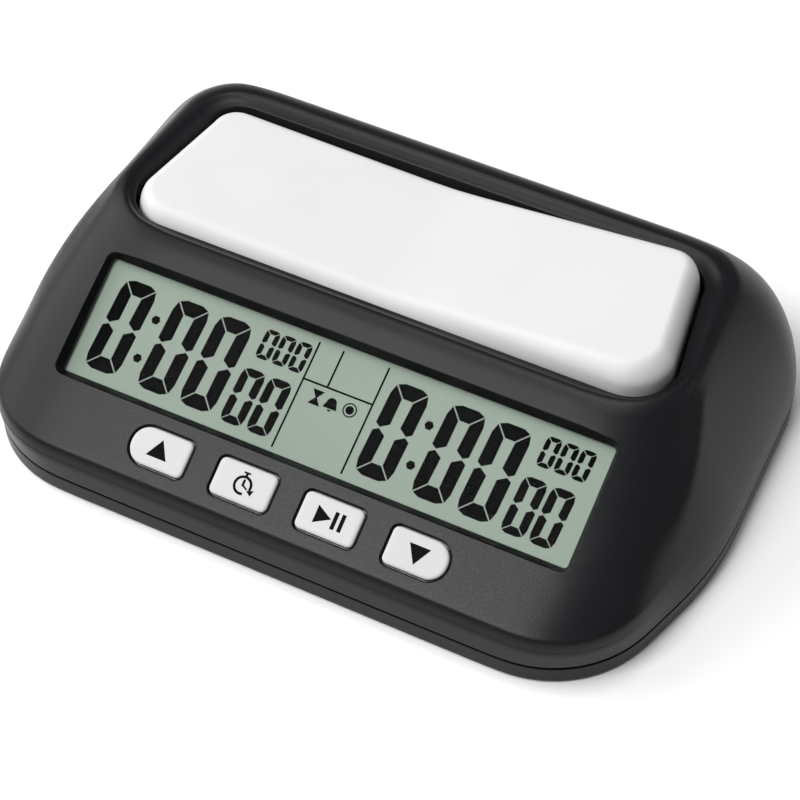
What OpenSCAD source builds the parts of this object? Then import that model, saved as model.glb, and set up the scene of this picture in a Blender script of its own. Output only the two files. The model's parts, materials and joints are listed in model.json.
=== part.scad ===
// Digital chess clock: a wedge-shaped two-shell case with a sloping display face,
// four keys and a shallow V rocker along the top.  Origin: centre of the footprint
// on the table.  +X is the right-hand player's side, -Y the display side, +Z up.

/* [Case] */
// Width of the case over the bulged sides
case_w = 152.8; // [150:0.2:158]
// Depth of the case from front to back
case_d = 100; // [99:0.5:104]
// Height of the rim round the rocker pocket
rim_z = 34.4; // [34:0.1:35.4]
// Height of the parting line between the two shells
parting_z = 5; // [4.6:0.1:5.4]
// Wall thickness of both shells
wall = 2.2; // [2:0.1:2.4]
// Height that the rubber feet stand proud
foot_h = 1; // [0.8:0.1:1.2]

/* [Display face] */
// Tilt of the display face from the table
face_tilt = 28; // [27:0.5:29]
// Width of the visible display
view_w = 108; // [104:0.5:109]
// Height of the visible display
view_h = 24.5; // [23:0.5:25]
// Depth from the face down to the display window
recess_depth = 2.1; // [1.8:0.1:2.3]

/* [Keys] */
// Width of a key
key_w = 12.4; // [11.5:0.1:13]
// Height of a key up the slope
key_h = 7.6; // [7:0.1:8]
// Distance between neighbouring keys
key_pitch = 18.5; // [18:0.1:19]
// Travel of a key
key_travel = 0.8; // [0.5:0.1:0.8]
// Clearance round a key
key_gap = 0.35; // [0.25:0.05:0.4]

/* [Rocker] */
// Half width of the rocker at its front edge
rocker_half = 57.9; // [57:0.1:58.2]
// Depth of the rocker from front to back
rocker_d = 36.2; // [35:0.1:36.4]
// Rise of each half of the rocker towards its end, in degrees
rocker_vee = 3.6; // [3:0.1:4]
// Angle from the level position to either stop
rock_angle = 2.6; // [2:0.1:2.8]
// Clearance between the rocker and its opening
rocker_gap = 0.7; // [0.6:0.05:0.9]

/* [Battery] */
// Diameter of the cell
cell_d = 14.5; // [14:0.1:14.6]
// Length of the cell with its nub
cell_l = 50.5; // [50:0.1:50.5]

/* [Hidden] */

eps = 0.02;
shell_steps = 10;
inner_steps = 6;

// Case outline: three pairs of corner circles, closing in with height.
base_front = -case_d / 2;
base_back = case_d / 2;
skirt_top = parting_z + 5.3;
ledge = 1.2;
front_lean = 9.2;
side_lean = 13.4;
back_lean = 15;
back_roll = 11.2;
lean_curve = 1.35;
front_half = case_w / 2 - 4.7;
back_half = case_w / 2 - 1.1;
bulge_y = -3;
bulge_r = 72;

function rise(z) = max(0, (z - parting_z) / (rim_z - parting_z));
function front_w(z) = front_half - front_lean * pow(rise(z), lean_curve);
function side_w(z) = case_w / 2 - side_lean * pow(rise(z), lean_curve);
function back_w(z) = back_half - back_lean * pow(rise(z), lean_curve);
function back_y(z) = base_back - back_roll * pow(rise(z), 3.2);
function front_r(z) = max(15.5, 24 - 16 * rise(z));
function back_r(z) = 22 - 8.5 * rise(z);

// The sloping face passes through this point, and the display sits below it.
face_y = -23.6;
face_z = 23.3;
face_lift = 2.4;
function face_line(z) =
    face_y - face_lift * sin(face_tilt)
    + (z - face_z - face_lift * cos(face_tilt)) / tan(face_tilt);

outer_levels = [5, 9.6, 11.2, 14.4, 17, 20, 23, 26, 29, 31.4, 33.6];
inner_levels = [4.9, 8, 11.4, 12.6, 18, 22, 26, 29, 31.2];

// Rocker position.
rocker_front = -3.3;
rocker_back = rocker_front + rocker_d;
rocker_back_half = rocker_half - 3.6;
rocker_front_r = 9;
rocker_back_r = 6.5;
rocker_low = 26;
rocker_saddle = 33.7;
rocker_skin = 2;
pivot_z = 26.6;
pivot_r = 1.5;
pivot_play = 0.05;
vee_rise = tan(rocker_vee);

// Pocket under the rocker.
pocket_floor = 22.8;
pocket_wall = 1.6;
dish_w = 3;
dish_low = 33.4;
ear_y = [7, 19.2];
ear_t = 2.6;
lug_y = [4, 22.3];
lug_t = 2.5;
leg_x = 14;
leg_w = 3;
leg_d = 4;
leg_low = 21.5;

// Heights along the face normal, measured from the display window.
skin_in = face_lift - recess_depth;
window_w = 112;
window_h = 27.2;
board_top = -5.5;
board_t = 1.6;
key_v = -20.25;
key_proud = 0.3;
key_x = [-1.5, -0.5, 0.5, 1.5];

// Fastener places.
case_screw_xy = [[66.5, -10], [-66.5, -10], [62, 34], [-62, 34]];
board_screw_xv = [[59.2, 8], [-59.2, 8], [42, -20], [-42, -20]];
switch_screw_x = 19.5;
foot_xy = [[54, -34], [-54, -34], [48, 38], [-48, 38]];
case_boss_r = 3;
case_screw_r = 1.4;
plate_z = foot_h;
plate_top = foot_h + 2;

// Low rim round the underside, clear of the table.
rim_low = 0.3;
rim_t = 2.6;

// Battery bay.
cell_y = 36.4;
cell_z = plate_top + 7.2;
cell_x0 = -23.2;
bay_x0 = -31.2;
bay_x1 = 28.4;
bay_half = 7.5;
bay_top = 17.9;
bay_wall = 1.4;
rebate = 1;
door_t = 1.5;
door_gap = 0.3;

// Buzzer and power switch.
buzzer_xy = [-46, 8];
buzzer_r = 10;
power_xy = [52, 6];
power_travel = 3;
sound_slots = [-2, -1, 0, 1, 2];

// Switch board.
switch_y = 14.1;
switch_z = 15.2;
plunger_gap = 0.3;
lever = leg_x * sin(rock_angle);

// Wires.
wire_r = 0.55;
wire_sides = 8;

black_plastic = [0.11, 0.11, 0.12];
white_plastic = [0.93, 0.93, 0.94];
board_green = [0.08, 0.32, 0.17];
steel = [0.75, 0.76, 0.78];

// ---------- outlines and helpers ----------

// Corner arcs of a rounded outline; each corner is [x, y, radius].
function arc_points(c, a0, a1, n) =
    [for (i = [0 : n]) [c[0] + c[2] * cos(a0 + (a1 - a0) * i / n),
                        c[1] + c[2] * sin(a0 + (a1 - a0) * i / n)]];

function round_box(w, h, r, n) = concat(
    arc_points([w / 2 - r, h / 2 - r, r], 0, 90, n),
    arc_points([r - w / 2, h / 2 - r, r], 90, 180, n),
    arc_points([r - w / 2, r - h / 2, r], 180, 270, n),
    arc_points([w / 2 - r, r - h / 2, r], 270, 360, n));

// Plan of the rocker grown by g: wide in front, narrow behind, with a point on the
// middle line of each long edge.
corner_steps = 8;
function rocker_plan(g) =
    let (fr = rocker_front_r, br = rocker_back_r,
         fx = rocker_half - fr, bx = rocker_back_half - br,
         fy = rocker_front + fr, by = rocker_back - br)
    concat(
        arc_points([bx, by, br + g], 0, 90, corner_steps),
        [[0, rocker_back + g]],
        arc_points([-bx, by, br + g], 90, 180, corner_steps),
        arc_points([-fx, fy, fr + g], 180, 270, corner_steps),
        [[0, rocker_front - g]],
        arc_points([fx, fy, fr + g], 270, 360, corner_steps));

// A key outline: the two end keys have one half-round side.
function key_plan(g, left_r, right_r) = concat(
    arc_points([key_w / 2 - right_r, key_h / 2 - right_r, right_r + g], 0, 90, 8),
    arc_points([left_r - key_w / 2, key_h / 2 - left_r, left_r + g], 90, 180, 8),
    arc_points([left_r - key_w / 2, left_r - key_h / 2, left_r + g], 180, 270, 8),
    arc_points([key_w / 2 - right_r, right_r - key_h / 2, right_r + g], 270, 360, 8));

key_end_r = 3.6;
key_corner_r = 1.2;
function left_r(i) = i == 0 ? key_end_r : key_corner_r;
function right_r(i) = i == 3 ? key_end_r : key_corner_r;

module on_face(x = 0, v = 0, w = 0) {
    translate([0, face_y, face_z])
        rotate([face_tilt, 0, 0])
            translate([x, v, w])
                children();
}

module slab(x0, x1, y0, y1, z0, z1) {
    translate([x0, y0, z0]) cube([x1 - x0, y1 - y0, z1 - z0]);
}

module prism(points, z0, z1) {
    translate([0, 0, z0]) linear_extrude(height = z1 - z0) polygon(points);
}

// Right half of the case outline at height z: front corner, bulged side, rear corner.
// It starts at the line y = front and is drawn in by inset.
bulge_arc = [for (i = [-6 : 6]) 4 * i];
function right_plan(z, front, inset, n) =
    let (fr = front_r(z) - inset, br = back_r(z), start = front + fr)
    concat(
        arc_points([front_w(z) - front_r(z), start, fr], -90, 0, n),
        [for (a = bulge_arc)
            let (y = bulge_y + (bulge_r - inset) * sin(a))
            if (y > start + 1 && y < back_y(z) - br - 1)
                [side_w(z) - bulge_r + (bulge_r - inset) * cos(a), y]],
        arc_points([back_w(z) - br, back_y(z) - br, br - inset], 0, 90, n));

function case_plan(z, front, inset, n) =
    let (half = right_plan(z, front, inset, n))
    concat(half, [for (i = [len(half) - 1 : -1 : 0]) [-half[i][0], half[i][1]]]);

// One thin slice of the case, for a hull through several of them.
module outline(z, front, inset, n) {
    prism(case_plan(z, front, inset, n), z, z + eps);
}

// A round tube swept along points by a triangle mesh.
function unit(a) = a / norm(a);
function tube_dir(p, i) =
    unit(p[min(i + 1, len(p) - 1)] - p[max(i - 1, 0)]);
function tube_side(d) =
    unit(cross(d, abs(d[2]) < 0.9 ? [0, 0, 1] : [1, 0, 0]));
module tube(p, r, sides) {
    rings = len(p);
    verts = [for (i = [0 : rings - 1])
        let (d = tube_dir(p, i), a = tube_side(d), b = cross(d, a))
        for (k = [0 : sides - 1])
            p[i] + r * (a * cos(360 * k / sides) + b * sin(360 * k / sides))];
    walls = [for (i = [0 : rings - 2]) for (k = [0 : sides - 1])
        let (m = (k + 1) % sides, q = i * sides)
        each [[q + k, q + m, q + sides + k],
              [q + m, q + sides + m, q + sides + k]]];
    first = [[for (k = [0 : sides - 1]) sides - 1 - k]];
    last = [[for (k = [0 : sides - 1]) (rings - 1) * sides + k]];
    polyhedron(points = verts, faces = concat(walls, first, last));
}

// Smooth curve through hand-placed points.
function blend(a, b, c, d, t) = 0.5 * (2 * b + (c - a) * t
    + (2 * a - 5 * b + 4 * c - d) * t * t + (3 * b - a - 3 * c + d) * t * t * t);
function route(p, n) = let (m = len(p) - 1) [for (i = [0 : m - 1])
    for (j = [0 : (i == m - 1 ? n : n - 1)])
        blend(p[max(i - 1, 0)], p[i], p[i + 1], p[min(i + 2, m)], j / n)];

// ---------- case ----------

// The straight part of the sloping face is set by its lowest and highest levels.  The
// levels between them stand a hair back, so that they shape only the corners.
function between(z, levels) = z > 12 && z > levels[3] && z < levels[len(levels) - 1];
hair = 0.05;

module dome_outer() {
    hull() {
        for (z = outer_levels)
            outline(z, max(base_front + ledge, face_line(z))
                       + (between(z, outer_levels) ? hair : 0),
                    z < 10 ? 0.3 : 0, shell_steps);
        outline(rim_z - eps, face_line(rim_z) + 0.6, 0.6, shell_steps);
    }
}

module dome_inner() {
    hull() {
        for (z = inner_levels)
            outline(z, max(base_front + ledge + wall,
                           face_line(z) + recess_depth / sin(face_tilt))
                       + (between(z, inner_levels) ? hair : 0),
                    wall, inner_steps);
    }
}

module skirt() {
    hull() {
        outline(parting_z, base_front, 0, shell_steps);
        outline(skirt_top - 1.6, base_front, 0, shell_steps);
        outline(skirt_top - 0.5, base_front + 0.4, 0.4, shell_steps);
        outline(skirt_top, base_front + ledge + 0.2, 1.4, shell_steps);
    }
}

module dish_cut() {
    hull() {
        prism(rocker_plan(rocker_gap + dish_w), rim_z + 0.1, rim_z + 0.2);
        prism(rocker_plan(rocker_gap - 0.2), dish_low - 0.1, dish_low);
    }
}

module display_cut() {
    hull() {
        on_face() prism(round_box(view_w + 3.2, view_h + 3.2, 2.4, 6),
                        face_lift + 0.3, face_lift + 0.4);
        on_face() prism(round_box(view_w - 0.4, view_h - 0.4, 0.8, 6), skin_in - 0.2, skin_in);
    }
    on_face() prism(round_box(view_w, view_h, 0.8, 6), skin_in - 1, skin_in + 0.1);
    on_face() prism(round_box(window_w + 0.5, window_h + 0.5, 1.2, 6), skin_in - 1.6, skin_in - 0.02);
}

module pocket_ears() {
    for (y = ear_y) {
        slab(-4, 4, y, y + ear_t, pocket_floor - 0.1, pivot_z);
        translate([0, y, pivot_z]) rotate([-90, 0, 0]) cylinder(r = 2.6, h = ear_t, $fn = 32);
    }
}

// Everything that stays solid inside the upper shell.
module upper_inner_solids() {
    prism(rocker_plan(rocker_gap + pocket_wall), pocket_floor - pocket_wall, rim_z);
    for (p = case_screw_xy)
        translate([p[0], p[1], parting_z + 0.1]) cylinder(r = case_boss_r, h = rim_z, $fn = 32);
    for (p = board_screw_xv)
        on_face(p[0], p[1], board_top + 0.05) cylinder(r = 2.2, h = 12, $fn = 32);
    for (s = [-1, 1])
        translate([s * switch_screw_x, switch_y, switch_z + board_t + 0.05])
            cylinder(r = 2, h = 6, $fn = 32);
}

module upper_housing() {
    color(black_plastic) {
        difference() {
            union() {
                dome_outer();
                skirt();
            }
            difference() {
                dome_inner();
                upper_inner_solids();
            }
            dish_cut();
            prism(rocker_plan(rocker_gap), pocket_floor, rim_z + 1);
            display_cut();
            for (i = [0 : 3])
                on_face(key_x[i] * key_pitch, key_v)
                    prism(key_plan(key_gap, left_r(i), right_r(i)), skin_in - 1, face_lift + 1);
            for (p = case_screw_xy)
                translate([p[0], p[1], parting_z]) cylinder(r = case_screw_r + 0.05, h = 11, $fn = 32);
            for (p = board_screw_xv)
                on_face(p[0], p[1], board_top) cylinder(r = 0.95, h = 5.5, $fn = 32);
            for (s = [-1, 1]) {
                translate([s * switch_screw_x, switch_y, switch_z + board_t])
                    cylinder(r = 0.95, h = 4.5, $fn = 32);
                slab(s * leg_x - 2.6, s * leg_x + 2.6, switch_y - 3, switch_y + 3, 20, 24);
            }
        }
        difference() {
            pocket_ears();
            translate([0, rocker_front, pivot_z])
                rotate([-90, 0, 0]) cylinder(r = pivot_r, h = rocker_d, $fn = 32);
        }
    }
}

module bay_solid() {
    slab(bay_x0 - bay_wall, bay_x1 + bay_wall, cell_y - bay_half - bay_wall,
         cell_y + bay_half + bay_wall, plate_z + 0.2, bay_top + bay_wall);
}

module lower_shell() {
    difference() {
        hull() {
            outline(rim_low, base_front + 0.5, 0.5, shell_steps);
            outline(rim_low + 0.7, base_front, 0, shell_steps);
            outline(parting_z - eps, base_front, 0, shell_steps);
        }
        hull() {
            outline(rim_low - 0.1, base_front + rim_t, rim_t, inner_steps);
            outline(plate_z - eps, base_front + rim_t + 0.4, rim_t + 0.4, inner_steps);
        }
        hull() {
            outline(plate_top, base_front + wall + 1.4, wall + 1.4, inner_steps);
            outline(parting_z + 1, base_front + wall + 1.4, wall + 1.4, inner_steps);
        }
    }
    difference() {
        hull() {
            outline(parting_z - 0.4, base_front + ledge + wall + 0.2, wall + 0.2, inner_steps);
            outline(parting_z + 1.4, base_front + ledge + wall + 0.2, wall + 0.2, inner_steps);
        }
        hull() {
            outline(plate_top, base_front + wall + 2.6, wall + 1.4, inner_steps);
            outline(parting_z + 2, base_front + wall + 2.6, wall + 1.4, inner_steps);
        }
    }
}

module lower_housing() {
    color(black_plastic)
        difference() {
            union() {
                lower_shell();
                bay_solid();
                for (p = case_screw_xy)
                    translate([p[0], p[1], plate_z + 0.2])
                        cylinder(r = 4.2, h = parting_z - plate_z - 0.2, $fn = 32);
                translate([buzzer_xy[0], buzzer_xy[1], plate_top - 0.2])
                    cylinder(r = buzzer_r + 1.6, h = 3.2, $fn = 48);
            }
            slab(bay_x0, bay_x1, cell_y - bay_half, cell_y + bay_half, 0, bay_top);
            slab(bay_x0 - rebate, bay_x1 + rebate, cell_y - bay_half - rebate,
                 cell_y + bay_half + rebate, 0, plate_z + door_t + 0.1);
            slab(bay_x0 - bay_wall - 1, bay_x0 + 1, cell_y - 1.5, cell_y + 1.5, 12, 14);
            slab(bay_x1 - 1, bay_x1 + bay_wall + 1, cell_y - 1.5, cell_y + 1.5, 12, 14);
            for (p = case_screw_xy) {
                translate([p[0], p[1], 0]) cylinder(r = case_screw_r + 0.2, h = 8, $fn = 32);
                translate([p[0], p[1], 0]) cylinder(r = 2.8, h = plate_top - 0.2, $fn = 32);
            }
            for (p = foot_xy)
                translate([p[0], p[1], 0]) cylinder(r = 5.1, h = plate_z + 0.6, $fn = 48);
            translate([buzzer_xy[0], buzzer_xy[1], plate_top])
                cylinder(r = buzzer_r - 1, h = 4, $fn = 48);
            translate([buzzer_xy[0], buzzer_xy[1], plate_top + 1.4])
                cylinder(r = buzzer_r + 0.1, h = 4, $fn = 48);
            for (i = sound_slots)
                slab(buzzer_xy[0] - 5 + abs(i), buzzer_xy[0] + 5 - abs(i),
                     buzzer_xy[1] + 2.4 * i - 0.5, buzzer_xy[1] + 2.4 * i + 0.5, 0, plate_top + 0.1);
            slab(power_xy[0] - 6, power_xy[0] + 6, power_xy[1] - 3, power_xy[1] + 3,
                 0, plate_z + 0.8);
            slab(power_xy[0] - 3.4, power_xy[0] + 3.4, power_xy[1] - 1.7, power_xy[1] + 1.7, 0, 6);
        }
}

module rubber_feet() {
    color([0.06, 0.06, 0.06])
        for (p = foot_xy)
            translate([p[0], p[1], 0]) {
                cylinder(r = 5, h = plate_z + 0.55, $fn = 48);
            }
}

module screw(head_r, head_h, shank_r, length) {
    difference() {
        cylinder(r = head_r, h = head_h, $fn = 32);
        translate([-head_r * 0.6, -0.3, -0.1]) cube([head_r * 1.2, 0.6, head_h * 0.55]);
        translate([-0.3, -head_r * 0.6, -0.1]) cube([0.6, head_r * 1.2, head_h * 0.55]);
    }
    translate([0, 0, head_h - eps]) cylinder(r = shank_r, h = length, $fn = 24);
}

module case_screws() {
    color(steel)
        for (p = case_screw_xy)
            translate([p[0], p[1], plate_z + 0.4]) screw(2.6, 1.4, case_screw_r, 12);
}

// ---------- rocker ----------

// The rocker as a stack of plan outlines: a flat foot, an upright side that follows
// the V, and a rounded top edge.  Each step is [depth below the top, inset].
rocker_steps = [[2.6, 0], [0.8, 0.7], [0.2, 1.6], [0, 2.8]];
module rocker_solid(grow, low, drop) {
    top = rocker_saddle - drop;
    foot = [for (p = rocker_plan(grow)) [p[0], p[1], low]];
    rings = [for (k = rocker_steps) for (p = rocker_plan(grow - k[1]))
        [p[0], p[1], top - k[0] + vee_rise * abs(p[0])]];
    n = len(foot);
    back_mid = corner_steps + 1;
    front_mid = back_mid + 2 * corner_steps + 3;
    sides = [for (i = [0 : len(rocker_steps) - 1]) for (k = [0 : n - 1])
        let (a = i * n + k, b = i * n + (k + 1) % n)
        each [[a, a + n, b + n], [a, b + n, b]]];
    cap = len(rocker_steps) * n;
    left = [for (k = [front_mid : -1 : back_mid]) cap + k];
    right = [for (k = [back_mid + n : -1 : front_mid]) cap + k % n];
    polyhedron(points = concat(foot, rings),
               faces = concat(sides, [left, right, [for (k = [0 : n - 1]) k]]));
}

module at_rest_tilt() {
    translate([0, 0, pivot_z]) rotate([0, -rock_angle, 0]) translate([0, 0, -pivot_z]) children();
}

module rocker_cap() {
    color(white_plastic)
        at_rest_tilt()
            difference() {
                rocker_solid(0, rocker_low, 0);
                rocker_solid(-rocker_skin, rocker_low - 1, rocker_skin);
            }
}

carrier_top = rocker_saddle - rocker_skin - 0.05;
carrier_t = 1.3;
module rocker_carrier() {
    color([0.75, 0.76, 0.77])
        at_rest_tilt()
            difference() {
                union() {
                    slab(-24, 24, 3, 25.5, carrier_top - carrier_t, carrier_top);
                    for (y = lug_y) {
                        slab(-3, 3, y, y + lug_t, pivot_z, carrier_top - 0.5);
                        translate([0, y, pivot_z])
                            rotate([-90, 0, 0]) cylinder(r = 3, h = lug_t, $fn = 32);
                    }
                    for (s = [-1, 1])
                        slab(s * leg_x - leg_w / 2, s * leg_x + leg_w / 2,
                             switch_y - leg_d / 2, switch_y + leg_d / 2,
                             leg_low, carrier_top - 0.5);
                }
                translate([0, 0, pivot_z]) rotate([-90, 0, 0])
                    cylinder(r = pivot_r + pivot_play, h = 40, $fn = 32);
            }
}

shaft_y0 = 2.7;
shaft_y1 = 26.1;
clip_y = [3.2, 25.1];
clip_t = 0.5;
module rocker_shaft() {
    color(steel)
        difference() {
            translate([0, shaft_y0, pivot_z])
                rotate([-90, 0, 0]) cylinder(r = pivot_r, h = shaft_y1 - shaft_y0, $fn = 32);
            for (y = clip_y)
                translate([0, y - 0.05, pivot_z]) rotate([-90, 0, 0])
                    difference() {
                        cylinder(r = 3, h = clip_t + 0.1, $fn = 32);
                        translate([0, 0, -1]) cylinder(r = 1.15, h = 3, $fn = 32);
                    }
        }
}

module shaft_clips() {
    color([0.35, 0.35, 0.37])
        for (y = clip_y)
            translate([0, y, pivot_z]) rotate([-90, 0, 0])
                difference() {
                    cylinder(r = 2.8, h = clip_t, $fn = 32);
                    translate([0, 0, -1]) cylinder(r = 1.2, h = 3, $fn = 32);
                    translate([-0.9, 0, -1]) cube([1.8, 4, 3]);
                }
}

// ---------- keys ----------

membrane_t = 0.6;
membrane_dome_h = 1.3;
stem_low = board_top + membrane_t + membrane_dome_h + key_travel + 0.1;
module key(i) {
    color(white_plastic)
        on_face(key_x[i] * key_pitch, key_v) {
            prism(key_plan(0, left_r(i), right_r(i)), -0.5, face_lift + key_proud - 0.3);
            prism(key_plan(-0.35, left_r(i), right_r(i)), 0, face_lift + key_proud);
            prism(key_plan(0.9, left_r(i), right_r(i)), -1, 0);
            translate([0, 0, stem_low]) cylinder(r = 1.8, h = -0.5 - stem_low, $fn = 32);
        }
}

module key_up() { key(0); }
module key_timer() { key(1); }
module key_play() { key(2); }
module key_down() { key(3); }

module keypad_membrane() {
    color([0.55, 0.56, 0.58])
        on_face() {
            difference() {
                translate([0, key_v, 0])
                    prism(round_box(72, 10.4, 2, 6), board_top, board_top + membrane_t);
                for (x = key_x)
                    translate([x * key_pitch, key_v, board_top - 1]) cylinder(r = 2.4, h = 3, $fn = 32);
            }
            for (x = key_x)
                translate([x * key_pitch, key_v, board_top + membrane_t - eps])
                    difference() {
                        cylinder(r1 = 3.4, r2 = 2.3, h = membrane_dome_h, $fn = 32);
                        translate([0, 0, -0.1]) cylinder(r1 = 2.9, r2 = 1.8, h = 0.9, $fn = 32);
                    }
        }
}

module contact_pills() {
    color([0.1, 0.1, 0.1])
        for (x = key_x)
            on_face(x * key_pitch, key_v, board_top + 0.95) cylinder(r = 1.5, h = 0.35, $fn = 32);
}

// ---------- display ----------

glass_half = 55.5;
module lcd_window() {
    color([0.8, 0.85, 0.85, 0.35])
        on_face() prism(round_box(window_w, window_h, 1, 6), skin_in - 1.05, skin_in - 0.05);
}

module lcd_frame() {
    color([0.1, 0.1, 0.1])
        on_face()
            difference() {
                slab(-56.8, 56.8, -14.8, 15, board_top + 0.03, skin_in - 1.08);
                slab(-glass_half - 0.1, glass_half + 0.1, -13.3, 13.3, board_top - 1, 1);
            }
}

// The display stack, each layer given by its lower and upper heights along the normal.
module lcd_layer(v0, v1, w0, w1) {
    on_face() slab(-glass_half, glass_half, v0, v1, w0, w1);
}

module lcd_front_polariser() { color([0.62, 0.68, 0.6]) lcd_layer(-12.9, 12.9, -0.98, -0.8); }
module lcd_front_glass() { color([0.7, 0.78, 0.72]) lcd_layer(-13.2, 13.2, -1.7, -1); }
module lcd_back_glass() { color([0.66, 0.74, 0.68]) lcd_layer(-13.2, 10, -2.42, -1.72); }
module lcd_reflector() { color([0.6, 0.64, 0.58]) lcd_layer(-12.9, 9.8, -2.64, -2.44); }

module zebra_strip() {
    color([0.85, 0.5, 0.65])
        on_face() slab(-52, 52, 10.7, 12.7, board_top + 0.03, -1.74);
}

// ---------- electronics ----------

module main_board() {
    color(board_green)
        on_face()
            difference() {
                union() {
                    slab(-61.4, 61.4, -12, 14.4, board_top - board_t, board_top);
                    slab(-46, 46, -26, -11, board_top - board_t, board_top);
                }
                for (p = board_screw_xv)
                    translate([p[0], p[1], board_top - 3]) cylinder(r = 1.2, h = 5, $fn = 32);
            }
}

module board_screws() {
    color(steel)
        for (p = board_screw_xv)
            on_face(p[0], p[1], board_top - board_t - 1.1) screw(1.9, 1.05, 0.85, 5.5);
}

module chip_cover() {
    color([0.05, 0.05, 0.05])
        on_face(0, -2, board_top - board_t - 1.5)
            cylinder(r1 = 3.6, r2 = 6, h = 1.47, $fn = 40);
}

module quartz_crystal() {
    color(steel)
        on_face(12, -4, board_top - board_t - 1.05)
            rotate([90, 0, 0]) cylinder(r = 1, h = 6, $fn = 24);
}

module board_capacitors() {
    color([0.6, 0.45, 0.3])
        for (k = [0 : 7])
            on_face(-36 + 7 * k + (k > 3 ? 16 : 0), -9, board_top - board_t - 0.85)
                slab(-1, 1, -0.6, 0.6, 0, 0.82);
}

module switch_board() {
    color(board_green)
        difference() {
            slab(-23, 23, switch_y - 6, switch_y + 6, switch_z, switch_z + board_t);
            for (s = [-1, 1])
                translate([s * switch_screw_x, switch_y, 0]) cylinder(r = 1.2, h = 30, $fn = 32);
        }
}

module switch_board_screws() {
    color(steel)
        for (s = [-1, 1])
            translate([s * switch_screw_x, switch_y, switch_z - 1.08]) screw(1.9, 1.05, 0.85, 5);
}

switch_base = switch_z + board_t + 0.02;
switch_h = 2.5;
plunger_low = switch_base + 0.3;
module switch_body(s) {
    color([0.2, 0.2, 0.22])
        difference() {
            slab(s * leg_x - 3, s * leg_x + 3, switch_y - 3, switch_y + 3,
                 switch_base, switch_base + switch_h);
            translate([s * leg_x, switch_y, switch_base + 0.2])
                cylinder(r = 1.75, h = switch_h, $fn = 32);
        }
}
module switch_body_left() { switch_body(-1); }
module switch_body_right() { switch_body(1); }

// The plunger stands where the rocker's leg leaves it: low on the pressed side.
module switch_plunger(s) {
    top = leg_low + s * lever - plunger_gap;
    color([0.85, 0.2, 0.15])
        translate([s * leg_x, switch_y, plunger_low + 0.1 + (s + 1) / 2 * 2 * lever])
            cylinder(r = 1.65, h = top - plunger_low - 0.1 - (s + 1) / 2 * 2 * lever, $fn = 32);
}
module switch_plunger_left() { switch_plunger(-1); }
module switch_plunger_right() { switch_plunger(1); }

// Flat ribbon from the switch board down to the back of the main board.
ribbon_line = [[8.5, 15.0], [4, 13.2], [0, 12.2], [-5, 11.8], [-9, 13], [-11.5, 15.8], [-12.4, 18.4]];
function ribbon_edge(s) = [for (i = [0 : len(ribbon_line) - 1])
    let (a = ribbon_line[max(i - 1, 0)], b = ribbon_line[min(i + 1, len(ribbon_line) - 1)],
         d = (b - a) / norm(b - a)) ribbon_line[i] + s * 0.2 * [-d[1], d[0]]];
module board_ribbon() {
    color([0.8, 0.8, 0.82])
        translate([-4, 0, 0]) rotate([90, 0, 90])
            linear_extrude(height = 8)
                polygon(concat(ribbon_edge(1),
                    [for (i = [len(ribbon_line) - 1 : -1 : 0]) ribbon_edge(-1)[i]]));
}

// ---------- battery ----------

module battery_door() {
    color(black_plastic)
        difference() {
            union() {
                slab(bay_x0 - rebate + door_gap, bay_x1 + rebate - door_gap,
                     cell_y - bay_half - rebate + door_gap, cell_y + bay_half + rebate - door_gap,
                     plate_z, plate_z + door_t);
                for (x = [-20, 14])
                    for (s = [-1, 1])
                        slab(x, x + 6, cell_y + s * (bay_half - 0.75) - 0.45,
                             cell_y + s * (bay_half - 0.75) + 0.45, plate_z + 1, plate_z + 4);
            }
            for (k = [0 : 3])
                slab(-24.5, -16.5, cell_y - 3.4 + 2 * k, cell_y - 2.6 + 2 * k, 0, plate_z + 0.5);
        }
}

module battery_cell() {
    color([0.75, 0.6, 0.25])
        translate([cell_x0, cell_y, cell_z]) rotate([0, 90, 0]) {
            cylinder(r = cell_d / 2, h = cell_l - 1.5, $fn = 64);
            cylinder(r = 2.6, h = cell_l, $fn = 32);
        }
}

spring_turns = 4.5;
spring_rings = 70;
module battery_spring() {
    x0 = bay_x0 + 0.85;
    span = cell_x0 - x0 - 0.85;
    color(steel)
        tube([for (i = [0 : spring_rings])
                let (t = i / spring_rings, a = 360 * spring_turns * t, r = 5 - 2 * t)
                [x0 + 0.35 + span * t, cell_y + r * cos(a), cell_z + r * sin(a)]], 0.35, 8);
}

module battery_spring_plate() {
    color(steel)
        slab(bay_x0 + 0.1, bay_x0 + 0.5, cell_y - 6.5, cell_y + 6.5, cell_z - 6, cell_z + 6.5);
}

module battery_positive_contact() {
    color(steel)
        slab(bay_x1 - 0.9, bay_x1 - 0.5, cell_y - 6.5, cell_y + 6.5, cell_z - 6, cell_z + 6.5);
}

positive_route = [[28, 36.4, 13], [31, 36.4, 13], [36, 36, 13.4], [44, 30, 12],
                  [52, 20, 10.5], [53.6, 11, 9.2], [53.6, 8, 8.6]];
switched_route = [[50.4, 8, 8.6], [49, 2, 10], [44, -5, 11.5], [38, -12, 12.6],
                  [33, -18, 12.4], [31, -21, 11.8]];
negative_route = [[-31.2, 36.4, 13], [-34, 36.4, 13], [-38, 35, 13.2], [-50, 27, 12.5],
                  [-61, 14, 11], [-58, 0, 11], [-46, -12, 12], [-40, -20, 12]];
buzzer_route = [[-44, 8, 5.3], [-43, 3, 8], [-40, -4, 10.5], [-36, -12, 12], [-33, -18, 12.3]];
module wire_positive() { color([0.8, 0.08, 0.06]) tube(route(positive_route, 5), wire_r, wire_sides); }
module wire_switched() { color([0.8, 0.08, 0.06]) tube(route(switched_route, 5), wire_r, wire_sides); }
module wire_negative() { color([0.06, 0.06, 0.06]) tube(route(negative_route, 5), wire_r, wire_sides); }
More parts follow.
